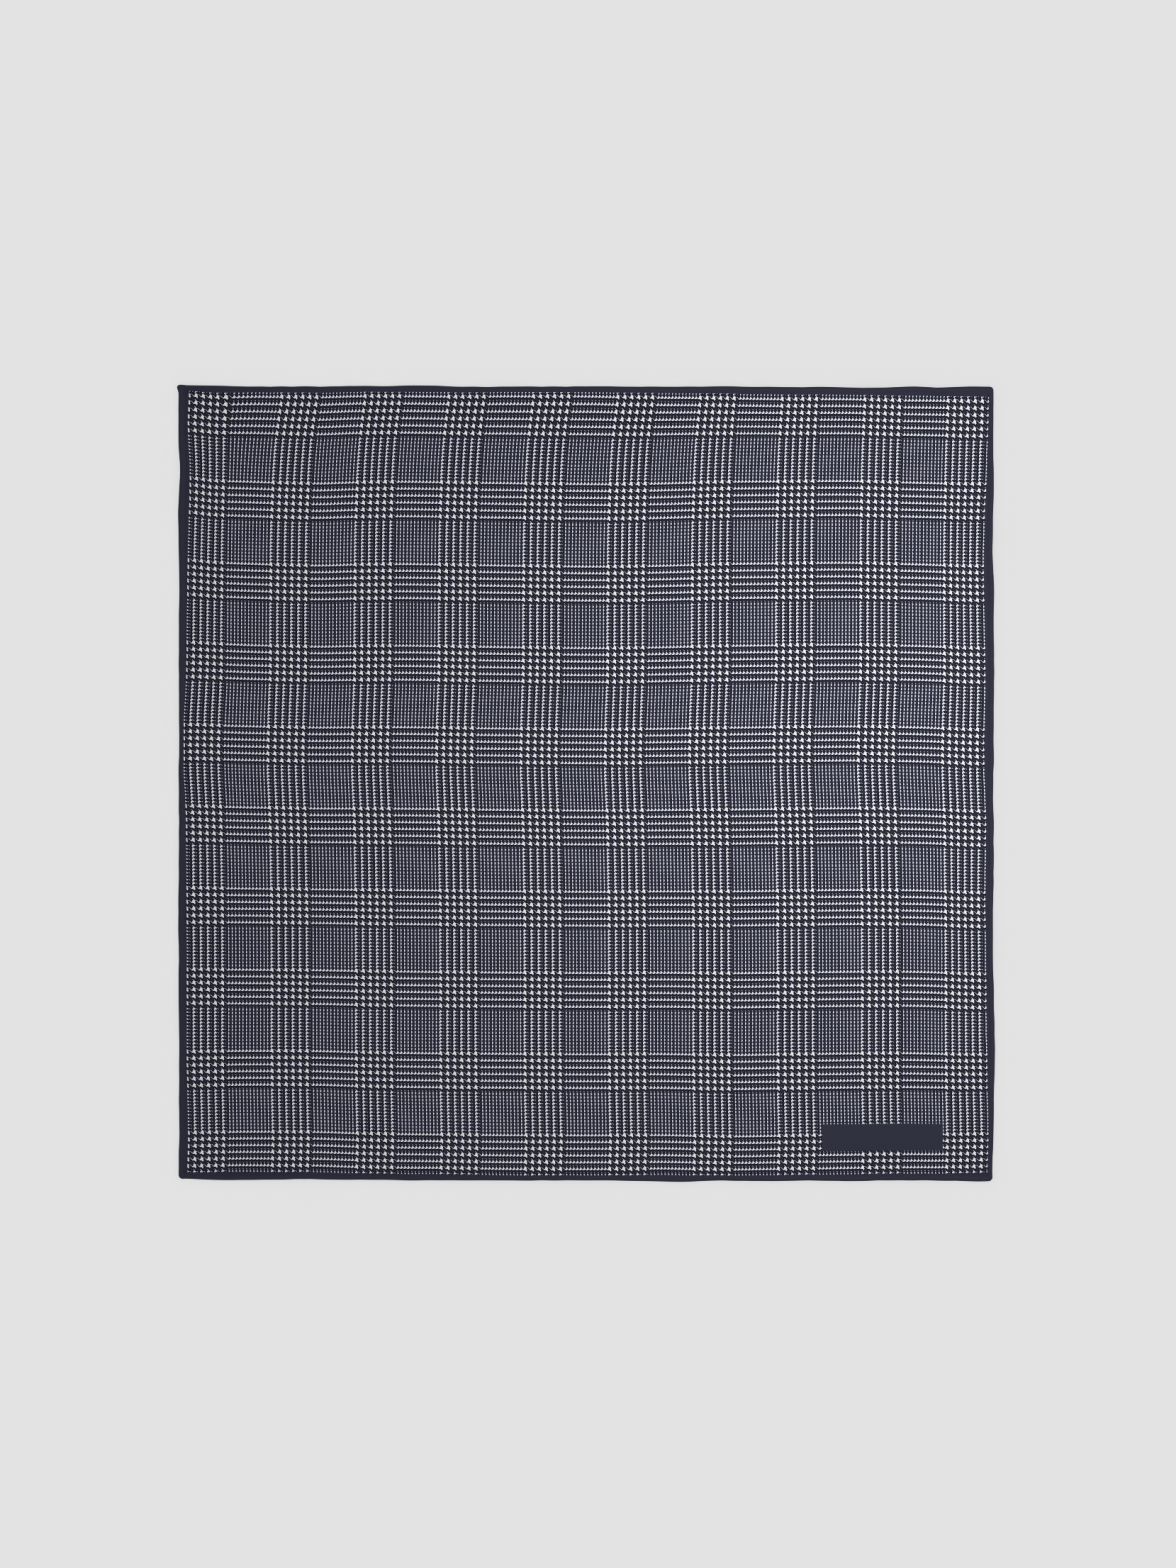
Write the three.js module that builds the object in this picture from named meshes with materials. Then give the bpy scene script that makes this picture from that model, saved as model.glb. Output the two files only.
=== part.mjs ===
// A pocket square of thin printed silk, lying open and flat, face up, with a rolled hem all round.
// It is one piece of cloth, so it is one closed solid. The outline is as uneven as a hand-laid square,
// the hem stands as a soft round ridge, and low swells lift the cloth where the hem pulls it in.
// Millimetres, +Z up, X across the cloth and Y up it. The origin is under the middle of the square.
import * as THREE from "three";

// Driving sizes
const width = 330; // hem to hem, across
const height = 321.5; // hem to hem, up the cloth
const cloth = 1.0; // thickness of the sheet, with the air that it lies on
const cornerRadius = 1.6; // where the hem turns a corner
const edgeReach = 34; // how far into the cloth an uneven edge is still felt
const fieldStep = 9.6; // spacing of the section lines inside the hem

// Section across the hem, from the outermost edge inwards: how far in, and how high its top and underside are.
const hemSection = [
  { in: 0.0, top: 1.35, under: 0.6 },
  { in: 0.3, top: 1.8, under: 0.15 },
  { in: 0.8, top: 2.15, under: 0 },
  { in: 1.4, top: 2.2, under: 0 },
  { in: 2.1, top: 1.85, under: 0 },
  { in: 2.8, top: 1.25, under: 0 },
  { in: 3.8, top: cloth, under: 0 },
];

// How the four edges wander from a straight line. at: place along the edge from its middle, to the right or up.
// out: how far the edge stands out there, or in if below nought. span: half the length of the bump or dip.
const edgeWaves = {
  top: [
    { at: -160, out: 0.55, span: 26 },
    { at: -94, out: 0.3, span: 14 },
    { at: -70, out: 0.42, span: 22 },
    { at: -36, out: -0.2, span: 15 },
    { at: 5, out: 0.16, span: 16 },
    { at: 86, out: -0.2, span: 28 },
    { at: 114, out: -0.5, span: 20 },
    { at: 143, out: -0.36, span: 15 },
  ],
  bottom: [
    { at: -162, out: -0.6, span: 20 },
    { at: -116, out: -0.48, span: 34 },
    { at: -84, out: -0.2, span: 20 },
    { at: 36, out: 0.6, span: 22 },
    { at: 72, out: 0.3, span: 26 },
    { at: 107, out: 0.36, span: 15 },
    { at: 160, out: 0.36, span: 22 },
  ],
  left: [
    { at: 147, out: 0.18, span: 13 },
    { at: 125, out: -0.5, span: 14 },
    { at: 108, out: 0.26, span: 16 },
    { at: 78, out: -0.16, span: 13 },
    { at: 20, out: -0.15, span: 16 },
    { at: -22, out: -0.15, span: 16 },
    { at: -54, out: 0.22, span: 18 },
    { at: -110, out: -0.24, span: 20 },
    { at: -140, out: -0.22, span: 13 },
  ],
  right: [
    { at: 141, out: -0.17, span: 14 },
    { at: 97, out: -0.46, span: 22 },
    { at: 78, out: 0.24, span: 14 },
    { at: 46, out: 0.26, span: 24 },
    { at: -4, out: -0.2, span: 16 },
    { at: -62, out: -0.42, span: 24 },
    { at: -108, out: 0.44, span: 34 },
    { at: -157, out: -0.46, span: 18 },
  ],
};

// Low swells that lift the cloth off the surface. x, y: the middle. rise: height there. long, wide: half its
// length and half its width. turn: degrees from X to its length.
const swells = [
  { x: -150, y: 122, rise: 0.9, long: 34, wide: 17, turn: -12 },
  { x: -148, y: 62, rise: 0.5, long: 26, wide: 15, turn: 8 },
  { x: -152, y: -22, rise: 0.6, long: 30, wide: 16, turn: 5 },
  { x: -146, y: -112, rise: 0.7, long: 32, wide: 18, turn: 14 },
  { x: 152, y: 98, rise: 0.9, long: 34, wide: 18, turn: 10 },
  { x: 150, y: 8, rise: 0.5, long: 28, wide: 15, turn: -6 },
  { x: 148, y: -62, rise: 0.8, long: 36, wide: 18, turn: -10 },
  { x: -36, y: 146, rise: 0.6, long: 30, wide: 16, turn: 84 },
  { x: 48, y: 148, rise: 0.5, long: 26, wide: 15, turn: 96 },
  { x: 114, y: 144, rise: 0.9, long: 34, wide: 18, turn: 80 },
  { x: -118, y: -146, rise: 0.8, long: 32, wide: 18, turn: 98 },
  { x: -40, y: -148, rise: 0.5, long: 28, wide: 16, turn: 88 },
  { x: 70, y: -147, rise: 0.6, long: 30, wide: 17, turn: 82 },
  { x: -62, y: 58, rise: 0.8, long: 64, wide: 24, turn: 34 },
  { x: 66, y: 36, rise: 0.7, long: 58, wide: 22, turn: -28 },
  { x: -44, y: -66, rise: 0.7, long: 60, wide: 22, turn: -22 },
  { x: 74, y: -84, rise: 0.8, long: 56, wide: 24, turn: 24 },
];

// The folded tip of the hem that sticks out past the top left corner.
const ear = { out: 0.9, up: 0.3, reach: 3.4 };

// A soft bump: 1 in the middle, 0 from the distance 1 outwards.
const bump = (distance) => (distance >= 1 ? 0 : Math.cos((distance * Math.PI) / 2) ** 2);

const wander = (waves, along) =>
  waves.reduce((sum, wave) => sum + wave.out * bump(Math.abs(along - wave.at) / wave.span), 0);

function lift(x, y) {
  let highest = 0;
  for (const swell of swells) {
    const turn = THREE.MathUtils.degToRad(swell.turn);
    const along = (x - swell.x) * Math.cos(turn) + (y - swell.y) * Math.sin(turn);
    const across = (y - swell.y) * Math.cos(turn) - (x - swell.x) * Math.sin(turn);
    highest = Math.max(highest, swell.rise * bump(Math.hypot(along / swell.long, across / swell.wide)));
  }
  return highest;
}

// Section lines over one side of the cloth: close together in the hem, evenly spaced in the field.
function sectionLines(size) {
  const hemLines = hemSection.map((row) => row.in);
  const foot = hemLines[hemLines.length - 1];
  const fieldCells = Math.round((size - 2 * foot) / fieldStep);
  const lines = hemLines.map((inwards) => inwards - size / 2);
  for (let cell = 1; cell < fieldCells; cell += 1) {
    lines.push(-size / 2 + foot + (cell * (size - 2 * foot)) / fieldCells);
  }
  return [...lines, ...hemLines.map((inwards) => size / 2 - inwards).reverse()];
}

function hemHeights(inwards) {
  const last = hemSection.length - 1;
  const row = hemSection.findIndex((section) => section.in >= inwards - 1e-6);
  return row < 0 ? hemSection[last] : hemSection[row];
}

// Where the point of a straight-edged square goes, once its corners are round and its edges wander.
function layOut(x, y) {
  const fromSide = width / 2 - Math.abs(x);
  const fromEnd = height / 2 - Math.abs(y);
  const right = Math.sign(x);
  const up = Math.sign(y);
  let placeX = x;
  let placeY = y;
  if (fromSide < cornerRadius && fromEnd < cornerRadius) {
    const alongX = cornerRadius - fromSide;
    const alongY = cornerRadius - fromEnd;
    const rounding = Math.max(alongX, alongY) / Math.hypot(alongX, alongY);
    placeX = right * (width / 2 - cornerRadius + alongX * rounding);
    placeY = up * (height / 2 - cornerRadius + alongY * rounding);
  }
  const side = right > 0 ? edgeWaves.right : edgeWaves.left;
  const end = up > 0 ? edgeWaves.top : edgeWaves.bottom;
  placeX += right * wander(side, y) * bump(fromSide / edgeReach);
  placeY += up * wander(end, x) * bump(fromEnd / edgeReach);
  const fromEar = Math.hypot(x + width / 2, y - height / 2) / ear.reach;
  placeX -= ear.out * bump(fromEar);
  placeY += ear.up * bump(fromEar);
  return [placeX, placeY];
}

function clothGeometry() {
  const columns = sectionLines(width);
  const rows = sectionLines(height);
  const wide = columns.length;
  const total = wide * rows.length;
  const top = [];
  const under = [];
  for (const y of rows) {
    for (const x of columns) {
      const [placeX, placeY] = layOut(x, y);
      const heights = hemHeights(Math.min(width / 2 - Math.abs(x), height / 2 - Math.abs(y)));
      const rise = lift(x, y);
      top.push(placeX, placeY, rise + heights.top);
      under.push(placeX, placeY, rise + heights.under);
    }
  }
  const faces = [];
  const quad = (a, b, c, d, slanted) =>
    slanted ? faces.push(a, b, c, a, c, d) : faces.push(a, b, d, b, c, d);
  for (let row = 0; row < rows.length - 1; row += 1) {
    for (let column = 0; column < wide - 1; column += 1) {
      const a = row * wide + column;
      const b = a + 1;
      const c = b + wide;
      const d = a + wide;
      // The cell's diagonal runs towards the nearest corner, so that the hem is mitred there.
      const slanted = columns[column] + columns[column + 1] > 0 === rows[row] + rows[row + 1] > 0;
      quad(a, b, c, d, slanted);
      quad(d + total, c + total, b + total, a + total, !slanted);
    }
  }
  // The rim joins the outermost line of the top to that of the underside, round all four sides.
  const rim = [];
  for (let column = 0; column < wide - 1; column += 1) rim.push(column);
  for (let row = 0; row < rows.length - 1; row += 1) rim.push(row * wide + wide - 1);
  for (let column = wide - 1; column > 0; column -= 1) rim.push((rows.length - 1) * wide + column);
  for (let row = rows.length - 1; row > 0; row -= 1) rim.push(row * wide);
  rim.forEach((here, place) => {
    const next = rim[(place + 1) % rim.length];
    quad(here + total, next + total, next, here, true);
  });
  const geometry = new THREE.BufferGeometry();
  geometry.setAttribute("position", new THREE.Float32BufferAttribute([...top, ...under], 3));
  geometry.setIndex(faces);
  geometry.computeVertexNormals();
  geometry.computeBoundingBox();
  const middle = geometry.boundingBox.getCenter(new THREE.Vector3());
  return geometry.translate(-middle.x, -middle.y, -geometry.boundingBox.min.z);
}

const printedSilk = new THREE.MeshStandardMaterial({ color: 0x5f616e, roughness: 0.62, metalness: 0 });

const pocketSquare = new THREE.Mesh(clothGeometry(), printedSilk);
pocketSquare.name = "pocket_square";

const part = new THREE.Group();
part.add(pocketSquare);

export default part;
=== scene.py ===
# A pocket square of printed silk twill, lying open and flat with its face up, its hem rolled by hand.
# Sizes are in millimetres, and mm turns them into Blender's metres.
import math

import bpy
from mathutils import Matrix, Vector, noise


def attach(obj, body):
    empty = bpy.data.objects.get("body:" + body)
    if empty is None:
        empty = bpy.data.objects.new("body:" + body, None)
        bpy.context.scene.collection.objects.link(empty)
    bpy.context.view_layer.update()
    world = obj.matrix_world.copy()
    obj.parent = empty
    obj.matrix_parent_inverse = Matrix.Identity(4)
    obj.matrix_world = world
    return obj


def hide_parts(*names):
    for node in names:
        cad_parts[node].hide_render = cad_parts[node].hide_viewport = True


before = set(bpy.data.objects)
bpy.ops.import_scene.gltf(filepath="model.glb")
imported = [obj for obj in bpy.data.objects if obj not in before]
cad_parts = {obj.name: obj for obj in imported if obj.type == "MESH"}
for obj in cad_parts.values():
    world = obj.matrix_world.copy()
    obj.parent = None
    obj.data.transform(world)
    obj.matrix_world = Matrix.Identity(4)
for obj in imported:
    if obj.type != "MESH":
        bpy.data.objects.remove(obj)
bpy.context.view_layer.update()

mm = 0.001

# What the cloth measures. The edges, swells and corners repeat those of its solid.
cloth = {
    "width": 330,  # hem to hem, across
    "height": 321.5,  # hem to hem, up the cloth
    "thickness": 0.28,
    "cell": 2.0,  # spacing of the mesh lines inside the hem
    "cornerRadius": 1.6,  # where the hem turns a corner
    "gatherReach": 14,  # the cloth is gathered into each corner over this length
    "edgeReach": 34,  # how far into the cloth an uneven edge is still felt
}

# Section of the rolled hem: how far in from the outermost edge, and how high the face is.
# It runs from the flat cloth over the roll, under it, and curls up inside to the cut edge.
hemSection = [
    (9.0, 0.35), (6.0, 0.45), (4.2, 0.7), (3.2, 0.85), (2.6, 0.62),
    (2.1, 0.95), (1.6, 1.5), (1.0, 1.8), (0.45, 1.6), (0.1, 1.15),
    (0.0, 0.8), (0.15, 0.35), (0.55, 0.06), (1.1, 0.0), (1.6, 0.12),
    (1.95, 0.5), (1.75, 0.85), (1.3, 1.1), (0.9, 1.0),
]

# How the edges wander: (place along the edge from its middle, how far out, half the length of the bump).
edgeWaves = {
    "top": [
        (-160, 0.55, 26), (-94, 0.3, 14), (-70, 0.42, 22), (-36, -0.2, 15),
        (5, 0.16, 16), (86, -0.2, 28), (114, -0.5, 20), (143, -0.36, 15),
    ],
    "bottom": [
        (-162, -0.6, 20), (-116, -0.48, 34), (-84, -0.2, 20), (36, 0.6, 22),
        (72, 0.3, 26), (107, 0.36, 15), (160, 0.36, 22),
    ],
    "left": [
        (147, 0.18, 13), (125, -0.5, 14), (108, 0.26, 16), (78, -0.16, 13), (20, -0.15, 16),
        (-22, -0.15, 16), (-54, 0.22, 18), (-110, -0.24, 20), (-140, -0.22, 13),
    ],
    "right": [
        (141, -0.17, 14), (97, -0.46, 22), (78, 0.24, 14), (46, 0.26, 24),
        (-4, -0.2, 16), (-62, -0.42, 24), (-108, 0.44, 34), (-157, -0.46, 18),
    ],
}

# Low swells that lift the cloth: (x, y, rise, half its length, half its width, degrees from X to its length).
swells = [
    (-150, 122, 0.9, 34, 17, -12), (-148, 62, 0.5, 26, 15, 8), (-152, -22, 0.6, 30, 16, 5),
    (-146, -112, 0.7, 32, 18, 14), (152, 98, 0.9, 34, 18, 10), (150, 8, 0.5, 28, 15, -6),
    (148, -62, 0.8, 36, 18, -10), (-36, 146, 0.6, 30, 16, 84), (48, 148, 0.5, 26, 15, 96),
    (114, 144, 0.9, 34, 18, 80), (-118, -146, 0.8, 32, 18, 98), (-40, -148, 0.5, 28, 16, 88),
    (70, -147, 0.6, 30, 17, 82), (-62, 58, 0.8, 64, 24, 34), (66, 36, 0.7, 58, 22, -28),
    (-44, -66, 0.7, 60, 22, -22), (74, -84, 0.8, 56, 24, 24),
]

ear = {"out": 0.9, "up": 0.3, "reach": 3.4}  # the folded tip of the hem at the top left corner


def bump(distance):  # 1 in the middle, 0 from the distance 1 outwards
    return math.cos(distance * math.pi / 2) ** 2 if distance < 1 else 0


def wander(waves, along):
    return sum(out * bump(abs(along - at) / span) for at, out, span in waves)


def lift(x, y):
    highest = 0
    for middleX, middleY, rise, length, width, degrees in swells:
        turn = math.radians(degrees)
        along = (x - middleX) * math.cos(turn) + (y - middleY) * math.sin(turn)
        across = (y - middleY) * math.cos(turn) - (x - middleX) * math.sin(turn)
        highest = max(highest, rise * bump(math.hypot(along / length, across / width)))
    return highest


# Length of cloth from the hem's foot to each row of its section.
rolled = [0]
for (inA, zA), (inB, zB) in zip(hemSection, hemSection[1:]):
    rolled.append(rolled[-1] + math.hypot(inA - inB, zA - zB))
foot = hemSection[0][0]
flatWidth = cloth["width"] + 2 * (rolled[-1] - foot)
flatHeight = cloth["height"] + 2 * (rolled[-1] - foot)
print(f"cut size of the cloth {flatWidth:.1f} x {flatHeight:.1f} mm")


# Where the mesh lines are over the flat cloth, from one cut edge to the other, each with its hem row.
def meshLines(size):
    inner = size / 2 - foot
    cells = round(2 * inner / cloth["cell"])
    lines = [(-inner + 2 * inner * cell / cells, 0) for cell in range(cells + 1)]
    for row in range(1, len(hemSection)):
        lines.append((inner + rolled[row], row))
        lines.insert(0, (-inner - rolled[row], row))
    return lines


# Where a place along a rolled edge goes: only the last stretch before a corner is gathered.
def gather(flat, size, row):
    free = size / 2 - cloth["gatherReach"]
    beyond = abs(flat) - free
    if beyond <= 0:
        return flat
    flatReach = size / 2 - foot + rolled[row] - free
    reach = size / 2 - hemSection[row][0] - free
    return math.copysign(free + beyond * reach / flatReach, flat)


# Where the point of a straight-edged square goes, once its corners are round and its edges wander.
def layOut(x, y):
    fromSide = cloth["width"] / 2 - abs(x)
    fromEnd = cloth["height"] / 2 - abs(y)
    right = math.copysign(1, x)
    up = math.copysign(1, y)
    placeX, placeY = x, y
    radius = cloth["cornerRadius"]
    if fromSide < radius and fromEnd < radius:
        alongX = radius - fromSide
        alongY = radius - fromEnd
        rounding = max(alongX, alongY) / math.hypot(alongX, alongY)
        placeX = right * (cloth["width"] / 2 - radius + alongX * rounding)
        placeY = up * (cloth["height"] / 2 - radius + alongY * rounding)
    side = edgeWaves["right" if right > 0 else "left"]
    end = edgeWaves["top" if up > 0 else "bottom"]
    placeX += right * wander(side, y) * bump(fromSide / cloth["edgeReach"])
    placeY += up * wander(end, x) * bump(fromEnd / cloth["edgeReach"])
    fromEar = math.hypot(x + cloth["width"] / 2, y - cloth["height"] / 2) / ear["reach"]
    return placeX - ear["out"] * bump(fromEar), placeY + ear["up"] * bump(fromEar)


# The small unevenness of a hem sewn by hand. A line says how far in from the edge something is strongest,
# a reach how far from there it is still felt, and a length how long its waves are along the hem.
handHem = {
    "cornerBulk": 0.22,  # how much higher the roll is at a corner, where two rolls meet
    "cornerBulkReach": 5,
    "scallop": 0.2,  # small ins and outs between the stitches
    "scallopLength": 11,
    "scallopReach": 8,
    "plump": 0.16,  # how much the roll's height varies
    "plumpLength": 15,
    "plumpReach": 5,
    "stitchPitch": 7.5,  # each hidden stitch draws the roll down a little
    "stitchDepth": 0.16,
    "stitchLine": 2.7,
    "stitchReach": 1.1,
    "stitchDrift": 2,  # how unevenly they are spaced, in radians of their wave
    "stitchDriftLength": 30,
    "pucker": 0.32,  # small folds that the hem draws into the cloth
    "puckerLength": 8,
    "puckerLine": 8,
    "puckerReach": 13,
    "puckerStart": 3,  # there are none in the roll itself
}
lanes = {"right": 3.3, "left": 13.3, "top": 23.3, "bottom": 33.3}  # where each hem reads the noise


def ripple(along, length, lane):  # an uneven wave, about -1 to 1, and the same on every run
    return 1.7 * noise.noise(Vector((along / length, lane, 0.37)))


# How far a place in the hem stands out, and its new height.
def handwork(inwards, along, lane, height):
    hem = handHem
    out = hem["scallop"] * ripple(along, hem["scallopLength"], lane) * bump(inwards / hem["scallopReach"])
    drift = hem["stitchDrift"] * ripple(along, hem["stitchDriftLength"], lane + 2)
    drawn = 0.5 + 0.5 * math.cos(2 * math.pi * along / hem["stitchPitch"] + drift)
    plump = hem["plump"] * ripple(along, hem["plumpLength"], lane + 1)
    height *= 1 + plump * bump(inwards / hem["plumpReach"])
    height -= hem["stitchDepth"] * drawn**3 * bump(abs(inwards - hem["stitchLine"]) / hem["stitchReach"])
    if inwards > hem["puckerStart"]:
        fold = max(0, ripple(along, hem["puckerLength"], lane + 3))
        height += hem["pucker"] * fold * bump(abs(inwards - hem["puckerLine"]) / hem["puckerReach"])
    return out, height


# The glen check is printed to look woven: dark and light yarns in a 2 by 2 twill, 48 yarns of
# four dark and four light, then 48 of two and two. Places are counted in yarns of that check.
check = {
    "across": 0.35598,  # one yarn, in mm
    "up": 0.34356,
    "startX": -25.9,  # where both counts are nought, in mm
    "startY": 23.3,
    "repeat": 96,
    "coarseBand": 48,
    "coarseGroup": 4,
    "fineGroup": 2,
    "over": 2,  # each yarn goes over so many and under as many
    "left": -382,  # the check ends here and the navy border begins
    "right": 530,
    "top": -387,
    "bottom": 530,
    "blockLeft": 339,  # a bare navy block near the bottom right corner
    "blockRight": 477,
    "blockTop": 469.5,
    "blockBottom": 501.5,
}

# How the check drifts on the laid cloth, aside and upwards, as stations (place, how far it moves), in mm.
checkDrift = {
    "aside": [
        (-156, 0.5), (-143, 0.8), (-118, 0.4), (-62, 0.3), (-30, -0.1), (-8, -0.7), (4, -1.2),
        (14, -1.3), (26, -1.0), (44, -0.4), (100, -0.2), (130, 0.3), (156, 1.1),
    ],
    "topLine": 160,  # the rise goes from that of the bottom line to that of the top line
    "riseAtTopLine": [
        (-156, 1.1), (-140, 0.4), (-110, -0.7), (-92, 0.0), (-72, 0.4), (-40, -0.2), (6, -0.9),
        (30, -0.4), (56, 0.8), (78, 1.1), (106, 1.3), (130, 0.5), (152, -0.2),
    ],
    "bottomLine": -160,
    "riseAtBottomLine": [
        (-156, 1.1), (-140, 1.2), (-110, 1.3), (-92, 0.6), (-72, 0.1), (-40, -0.1), (6, -0.2),
        (30, -0.2), (56, -0.9), (78, -0.7), (106, -0.3), (130, 0.0), (152, -0.4),
    ],
    "topHem": 156,  # the top hem pulls the check, less and less below this height
    "topHemFade": 22,
    "topHemPull": 0.8,
    "asideByTopHem": [(-148, 0.5), (-132, 3.9), (-70, 3.2), (20, 3.4), (60, 1.9), (110, 0.4), (152, 0.0)],
    "riseByTopHem": [
        (-148, 1.5), (-132, 2.7), (-110, 3.4), (-66, 2.5), (0, 4.0), (30, 2.9), (60, 0.8),
        (110, -0.1), (152, 1.0),
    ],
    "bottomHem": -161,  # and so does the bottom hem, above this height
    "bottomHemFade": 14,
    "riseByBottomHem": [
        (-150, 0.6), (-108, 0.1), (-66, 0.6), (-23, 0.1), (20, 0.3), (61, 0.9), (124, 0.9), (150, 1.2),
    ],
    "rightStep": 138,
    "rightStepLength": 22,
    "rightStepPull": 0.65,
    "sideHemReach": 30,  # how far into the cloth the side hems pull
    "asideByLeftHem": [
        (-150, -0.2), (-53, -0.2), (-13, 0.2), (6, 0.0), (26, -0.2), (46, 0.2), (66, 0.4), (86, 0.6),
        (106, 1.0), (126, 1.1), (146, -0.6),
    ],
    "riseByLeftHem": [
        (-150, -0.4), (-113, -0.4), (-93, 0.0), (-73, 0.0), (-53, -0.2), (-33, 0.2), (26, 0.2),
        (46, 0.4), (90, 0.2), (126, 0.0), (150, 0.0),
    ],
    "asideByRightHem": [
        (-132, 0.2), (-113, 0.0), (-93, -0.2), (-73, -0.4), (-53, -0.6), (-33, -0.2), (-13, 0.4),
        (26, 0.4), (46, 0.0), (66, -0.4), (86, -0.8), (106, -0.6), (126, 0.0), (146, 0.2),
    ],
    "riseByRightHem": [
        (-150, 0.6), (-132, 0.4), (-113, 0.0), (-93, -0.4), (66, -0.4), (106, 0.0), (146, -0.2),
    ],
    "leftRollReach": 15,  # close to its roll the left hem lifts the rows some more
    "riseByLeftRoll": [(46, 0.0), (96, 0.9), (128, 1.1), (150, 0.6)],
}


def through(stations, place):  # a smooth line through the stations, level beyond its ends
    first, last = stations[0], stations[-1]
    if place <= first[0] or place >= last[0]:
        return first[1] if place <= first[0] else last[1]
    here = max(n for n, station in enumerate(stations) if station[0] <= place)
    before, a, b = stations[max(here - 1, 0)], stations[here], stations[here + 1]
    after = stations[min(here + 2, len(stations) - 1)]
    span = b[0] - a[0]
    t = (place - a[0]) / span
    leaving = (b[1] - before[1]) / (b[0] - before[0]) * span
    arriving = (after[1] - a[1]) / (after[0] - a[0]) * span
    level = a[1] + (b[1] - a[1]) * t * t * (3 - 2 * t)
    return level + leaving * t * (1 - t) ** 2 - arriving * t * t * (1 - t)


# Yarn counts of the check at a place of the laid cloth, to the right and downwards.
def yarnCount(x, y):
    drift = checkDrift
    aside = through(drift["aside"], y)
    upwards = (y - drift["bottomLine"]) / (drift["topLine"] - drift["bottomLine"])
    rise = through(drift["riseAtTopLine"], x) * upwards
    rise += through(drift["riseAtBottomLine"], x) * (1 - upwards)
    belowTopHem = drift["topHem"] - min(y, drift["topHem"])
    pull = drift["topHemPull"] * math.exp(-belowTopHem / drift["topHemFade"])
    aside += pull * through(drift["asideByTopHem"], x)
    rise += pull * through(drift["riseByTopHem"], x)
    step = min(max((x - drift["rightStep"]) / drift["rightStepLength"], 0), 1)
    aside -= drift["rightStepPull"] * step * step * (3 - 2 * step)
    side = "Left" if x < 0 else "Right"
    bySide = bump(max(cloth["width"] / 2 - abs(x), 0) / drift["sideHemReach"])
    aside += bySide * through(drift[f"asideBy{side}Hem"], y)
    rise += bySide * through(drift[f"riseBy{side}Hem"], y)
    byRoll = bump(max(cloth["width"] / 2 + x, 0) / drift["leftRollReach"])
    rise += byRoll * through(drift["riseByLeftRoll"], y)
    pull = math.exp((drift["bottomHem"] - y) / drift["bottomHemFade"])
    rise += pull * through(drift["riseByBottomHem"], x)
    across = (x - aside - check["startX"]) / check["across"]
    return across, (check["startY"] - y + rise) / check["up"]


def makeCloth():
    columns = meshLines(cloth["width"])
    rows = meshLines(cloth["height"])
    bpy.ops.object.select_all(action="DESELECT")
    bpy.ops.mesh.primitive_grid_add(x_subdivisions=len(columns) - 1, y_subdivisions=len(rows) - 1, size=2)
    sheet = bpy.context.object
    sheet.name = "laid_silk"
    mesh = sheet.data
    flatMap = mesh.uv_layers[0]
    flatMap.name = "OFBake"
    yarnMap = mesh.uv_layers.new(name="yarns")
    flatPlaces, yarnPlaces, places = [], [], []
    for vertex in mesh.vertices:
        flatX, columnRow = columns[round((vertex.co.x + 1) / 2 * (len(columns) - 1))]
        flatY, rowRow = rows[round((vertex.co.y + 1) / 2 * (len(rows) - 1))]
        row = max(columnRow, rowRow)
        height = hemSection[row][1]
        x = gather(flatX, cloth["width"], row)
        y = gather(flatY, cloth["height"], row)
        laidX, laidY = layOut(x, y)
        flatPlaces.append((flatX / flatWidth + 0.5, flatY / flatHeight + 0.5))
        yarnPlaces.append(yarnCount(flatX + laidX - x, flatY + laidY - y))
        fromSide = cloth["width"] / 2 - abs(x)
        fromEnd = cloth["height"] / 2 - abs(y)
        fromCorner = math.hypot(fromSide, fromEnd) / handHem["cornerBulkReach"]
        height *= 1 + handHem["cornerBulk"] * bump(fromCorner)
        if fromSide < fromEnd:
            out, height = handwork(fromSide, y, lanes["right" if x > 0 else "left"], height)
            laidX += math.copysign(out, x)
        else:
            out, height = handwork(fromEnd, x, lanes["top" if y > 0 else "bottom"], height)
            laidY += math.copysign(out, y)
        places.append((laidX, laidY, max(height, 0) + lift(x, y)))
    middleX = (min(p[0] for p in places) + max(p[0] for p in places)) / 2
    middleY = (min(p[1] for p in places) + max(p[1] for p in places)) / 2
    for vertex, (x, y, z) in zip(mesh.vertices, places):
        vertex.co = ((x - middleX) * mm, (y - middleY) * mm, z * mm)
    for loop in mesh.loops:
        flatMap.data[loop.index].uv = flatPlaces[loop.vertex_index]
        yarnMap.data[loop.index].uv = yarnPlaces[loop.vertex_index]
    wall = sheet.modifiers.new("thickness", "SOLIDIFY")
    wall.thickness = cloth["thickness"] * mm
    wall.offset = -1
    bpy.ops.object.modifier_apply(modifier=wall.name)
    bpy.ops.object.shade_smooth()
    print(f"cloth laid out, {len(sheet.data.polygons)} faces")
    return sheet, (-middleX, -middleY)


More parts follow.
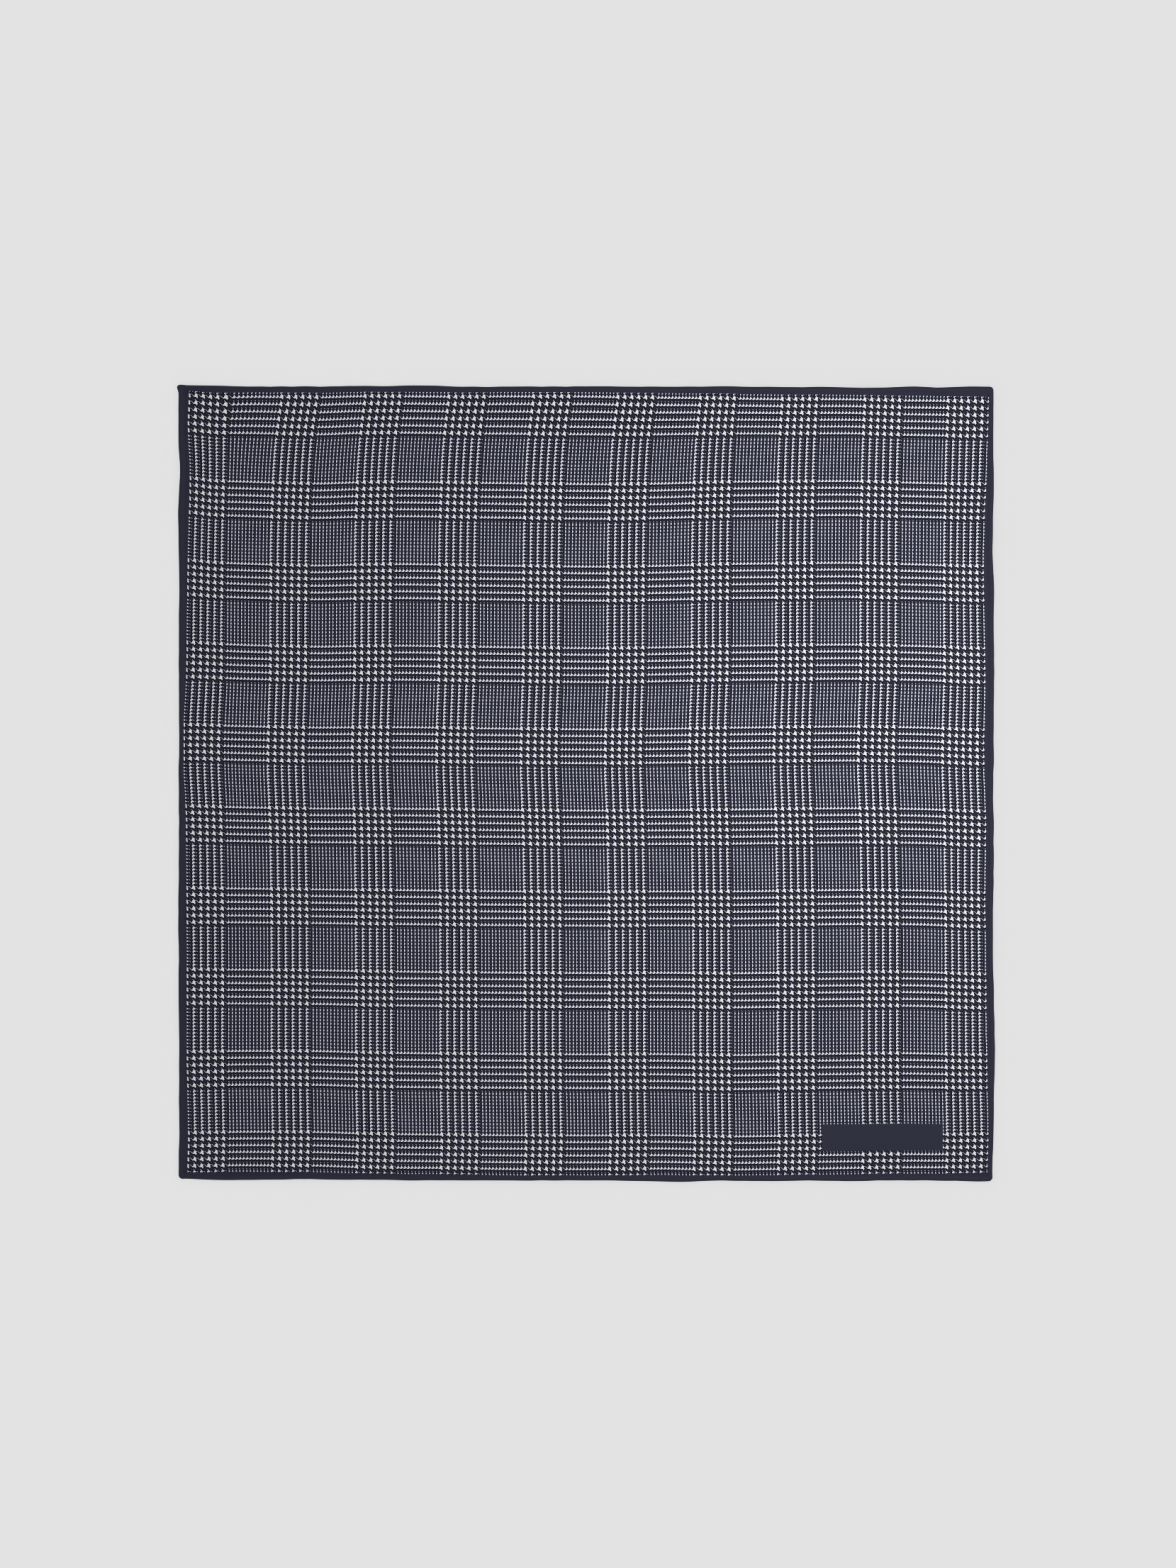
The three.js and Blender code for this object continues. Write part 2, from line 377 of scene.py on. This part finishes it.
# A shader socket that can be written in sums: wire + 1, 1 - wire, wire % 8 < 4.
class Wire:
    tree = None

    def __init__(self, socket):
        self.socket = socket

    @classmethod
    def node(cls, kind, settings, inputs, output=0):
        made = cls.tree.nodes.new(kind)
        for name, value in settings.items():
            setattr(made, name, value)
        for name, value in inputs.items():
            if isinstance(value, Wire):
                cls.tree.links.new(value.socket, made.inputs[name])
            else:
                made.inputs[name].default_value = value
        return Wire(made.outputs[output])

    @classmethod
    def maths(cls, operation, *values):
        return cls.node("ShaderNodeMath", {"operation": operation}, dict(enumerate(values)))

    def __add__(self, other):
        return self.maths("ADD", self, other)

    def __radd__(self, other):
        return self.maths("ADD", other, self)

    def __sub__(self, other):
        return self.maths("SUBTRACT", self, other)

    def __rsub__(self, other):
        return self.maths("SUBTRACT", other, self)

    def __mul__(self, other):
        return self.maths("MULTIPLY", self, other)

    def __rmul__(self, other):
        return self.maths("MULTIPLY", other, self)

    def __mod__(self, other):
        return self.maths("FLOORED_MODULO", self, other)

    def __lt__(self, other):
        return self.maths("LESS_THAN", self, other)

    def __gt__(self, other):
        return self.maths("GREATER_THAN", self, other)


def mixColours(factor, first, second):
    settings = {"data_type": "RGBA"}
    return Wire.node("ShaderNodeMix", settings, {0: factor, 6: first, 7: second}, output=2)


def speckle(place, scale, detail):  # noise between 0 and 1
    inputs = {"Vector": place, "Scale": scale, "Detail": detail}
    return Wire.node("ShaderNodeTexNoise", {}, inputs)


# The looks of the dyed silk. Its patterns are measured in yarns of the check.
silk = {
    "navy": (0.0215, 0.022, 0.0375, 1),
    "checkNavy": (0.016, 0.0163, 0.0295, 1),  # the dark yarns of the check
    "deepNavy": (0.0018, 0.0019, 0.0095, 1),  # where they meet the light yarns
    "ivory": (0.648, 0.643, 0.643, 1),
    "lavender": (0.592, 0.607, 0.729, 1),
    "hazeScale": 0.09,  # patches of ivory and of lavender
    "hazeContrast": 1.6,
    "hazeLevel": 0.55,
    "fineHaze": 0.3,  # the finer the yarns, the more lavender they look
    "spreadAcross": 0.48,  # how far the navy has spread into each light yarn
    "spreadDown": 0.47,
    "hairlineAcross": 0.125,  # how much further, and how much less, in the finest squares
    "hairlineDown": 0.44,
    "bleed": 0.25,  # how far the edges of the dye wander
    "bleedScaleAcross": 0.9,
    "bleedScaleDown": 0.7,
    "twillPitch": 2,  # a ridge of the real twill
    "twillHeight": 0.03,  # in mm
    "slub": 0.6,  # unevenness of the real yarns, beside that ridge
    "slubScale": 1.4,
    "roughness": 0.52,
    "specular": 0.05,
    "sheen": 0.03,
    "sheenRoughness": 0.5,
}


def inFineBand(number):
    return (number % check["repeat"]) > check["coarseBand"] - 0.5


def inLightGroup(number, group):  # so many light yarns, then as many dark ones
    return (number % (2 * group)) < group - 0.5


def numberedYarn(place):  # the number of the yarn at a place, and 1 if that yarn is light
    number = Wire.maths("FLOOR", place)
    coarse = inLightGroup(number, check["coarseGroup"])
    fine = inLightGroup(number, check["fineGroup"])
    return number, coarse + inFineBand(number) * (fine - coarse)


def between(value, low, high):
    return (value > low) * (value < high)


# How many of four places are light in the check: a little to the left, right, above and below.
# The finest squares are upright hairlines, so there a place on a dark upright yarn counts one less.
def lightPlaces(across, down):
    hairline = inFineBand(across) * inFineBand(down)
    spreadAcross = silk["spreadAcross"] + hairline * silk["hairlineAcross"]
    spreadDown = silk["spreadDown"] - hairline * silk["hairlineDown"]
    warps = [numberedYarn(across + spreadAcross * side) for side in (0, 1, -1)]
    wefts = [numberedYarn(down + spreadDown * side) for side in (0, 1, -1)]
    pairs = [(warp, wefts[0]) for warp in warps[1:]] + [(warps[0], weft) for weft in wefts[1:]]
    over = check["over"]
    total = 0
    for (warp, lightWarp), (weft, lightWeft) in pairs:
        warpOnTop = ((warp - weft + over) % (2 * over)) < over - 0.5
        total = total + lightWeft + warpOnTop * (lightWarp - lightWeft)
    uprightYarnLight = warps[0][1]
    return total - hairline * (1 - uprightYarnLight)


def silkMaterial():
    material = bpy.data.materials.new("printed_silk_twill")
    material.use_nodes = True
    Wire.tree = material.node_tree
    shader = Wire.tree.nodes["Principled BSDF"]
    place = Wire.node("ShaderNodeUVMap", {"uv_map": "yarns"}, {})
    across = Wire.node("ShaderNodeSeparateXYZ", {}, {0: place}, output=0)
    down = Wire.node("ShaderNodeSeparateXYZ", {}, {0: place}, output=1)
    wobbleAcross = (speckle(place, silk["bleedScaleAcross"], 1) - 0.5) * silk["bleed"]
    wobbleDown = (speckle(place, silk["bleedScaleDown"], 1) - 0.5) * silk["bleed"]
    places = lightPlaces(across + wobbleAcross, down + wobbleDown)
    light = places > 3.5  # all four: the navy has spread, so a light part is smaller than its yarns
    inCheck = between(across, check["left"], check["right"]) * between(down, check["top"], check["bottom"])
    inBlock = between(across, check["blockLeft"], check["blockRight"])
    inBlock = inBlock * between(down, check["blockTop"], check["blockBottom"])
    printed = inCheck * (1 - inBlock)
    haze = speckle(place, silk["hazeScale"], 2) * silk["hazeContrast"] - silk["hazeLevel"]
    haze = haze + (inFineBand(across) + inFineBand(down)) * silk["fineHaze"]
    tint = mixColours(haze, silk["ivory"], silk["lavender"])
    darkYarns = mixColours(places > 0.5, silk["checkNavy"], silk["deepNavy"])
    ground = mixColours(printed, silk["navy"], darkYarns)
    colour = mixColours(light * printed, ground, tint)
    ridge = Wire.maths("SINE", (across - down) * (2 * math.pi / silk["twillPitch"]))
    height = ridge + silk["slub"] * speckle(place, silk["slubScale"], 2)
    relief = {"Height": height, "Distance": silk["twillHeight"] * mm, "Strength": 1.0}
    normal = Wire.node("ShaderNodeBump", {}, relief)
    Wire.tree.links.new(colour.socket, shader.inputs["Base Color"])
    Wire.tree.links.new(normal.socket, shader.inputs["Normal"])
    shader.inputs["Roughness"].default_value = silk["roughness"]
    shader.inputs["Specular IOR Level"].default_value = silk["specular"]
    shader.inputs["Sheen Weight"].default_value = silk["sheen"]
    shader.inputs["Sheen Roughness"].default_value = silk["sheenRoughness"]
    print("silk dyed")
    return material


studio = {
    "worldLight": 0.8,
    "floorTone": 0.24,
    "floorGlow": 0.576,  # the floor is lit from within as well, so that hardly any shadow tells on it
    "floorSize": 6000,
    "floorGap": 0.15,  # below the cloth
    "softboxSize": 200,
    "softboxPlace": (140, 38, 300),
    "softboxAim": (140, 38, 0),
    "softboxPower": 0.72,
    "cameraHeight": 2300,
    "viewHeight": 635.5,  # what the photograph takes in, top to bottom
    "viewPlace": (0.73, -0.215),  # middle of the view, from the middle of the cloth
    "pixelFilter": 1.0,  # narrow, so that single yarns of the check still tell
}


def paleFloor():
    material = bpy.data.materials.new("pale_floor")
    material.use_nodes = True
    shader = material.node_tree.nodes["Principled BSDF"]
    tone = studio["floorTone"]
    shader.inputs["Base Color"].default_value = (tone, tone, tone, 1)
    shader.inputs["Emission Color"].default_value = (1, 1, 1, 1)
    shader.inputs["Emission Strength"].default_value = studio["floorGlow"]
    shader.inputs["Roughness"].default_value = 1
    shader.inputs["Specular IOR Level"].default_value = 0
    bpy.ops.mesh.primitive_plane_add(size=studio["floorSize"] * mm, location=(0, 0, -studio["floorGap"] * mm))
    floor = bpy.context.object
    floor.name = "pale_floor"
    floor.data.materials.append(material)


def studioLight(sheet):
    world = bpy.data.worlds.new("studio")
    bpy.context.scene.world = world
    world.use_nodes = True
    background = world.node_tree.nodes["Background"]
    background.inputs["Color"].default_value = (1, 1, 1, 1)
    background.inputs["Strength"].default_value = studio["worldLight"]
    bpy.ops.object.light_add(type="AREA", location=[size * mm for size in studio["softboxPlace"]])
    softbox = bpy.context.object
    softbox.name = "softbox"
    softbox.data.size = studio["softboxSize"] * mm
    softbox.data.energy = studio["softboxPower"]
    aim = Vector(studio["softboxAim"]) - Vector(studio["softboxPlace"])
    softbox.rotation_euler = aim.to_track_quat("-Z", "Y").to_euler()
    softbox.visible_camera = False
    lit = bpy.data.collections.new("lit by the softbox")  # the cloth alone, so the floor stays even
    lit.objects.link(sheet)
    softbox.light_linking.receiver_collection = lit


def photoCamera(middle):
    x, y = studio["viewPlace"]
    place = ((middle[0] + x) * mm, (middle[1] + y) * mm, studio["cameraHeight"] * mm)
    bpy.ops.object.camera_add(location=place, rotation=(0, 0, 0))
    camera = bpy.context.object
    camera.data.sensor_width = 36
    camera.data.lens = camera.data.sensor_width * studio["cameraHeight"] / studio["viewHeight"]
    camera.data.clip_end = 20
    scene = bpy.context.scene
    scene.camera = camera
    scene.view_settings.view_transform = "Standard"
    scene.cycles.filter_width = studio["pixelFilter"]
    scene.cycles.use_denoising = False  # a denoiser wipes out single yarns too
    print("studio set up")


silkSquare, middleOfCloth = makeCloth()
silkSquare.data.materials.append(silkMaterial())
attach(silkSquare, "root")
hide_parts("pocket_square")

paleFloor()
studioLight(silkSquare)
photoCamera(middleOfCloth)
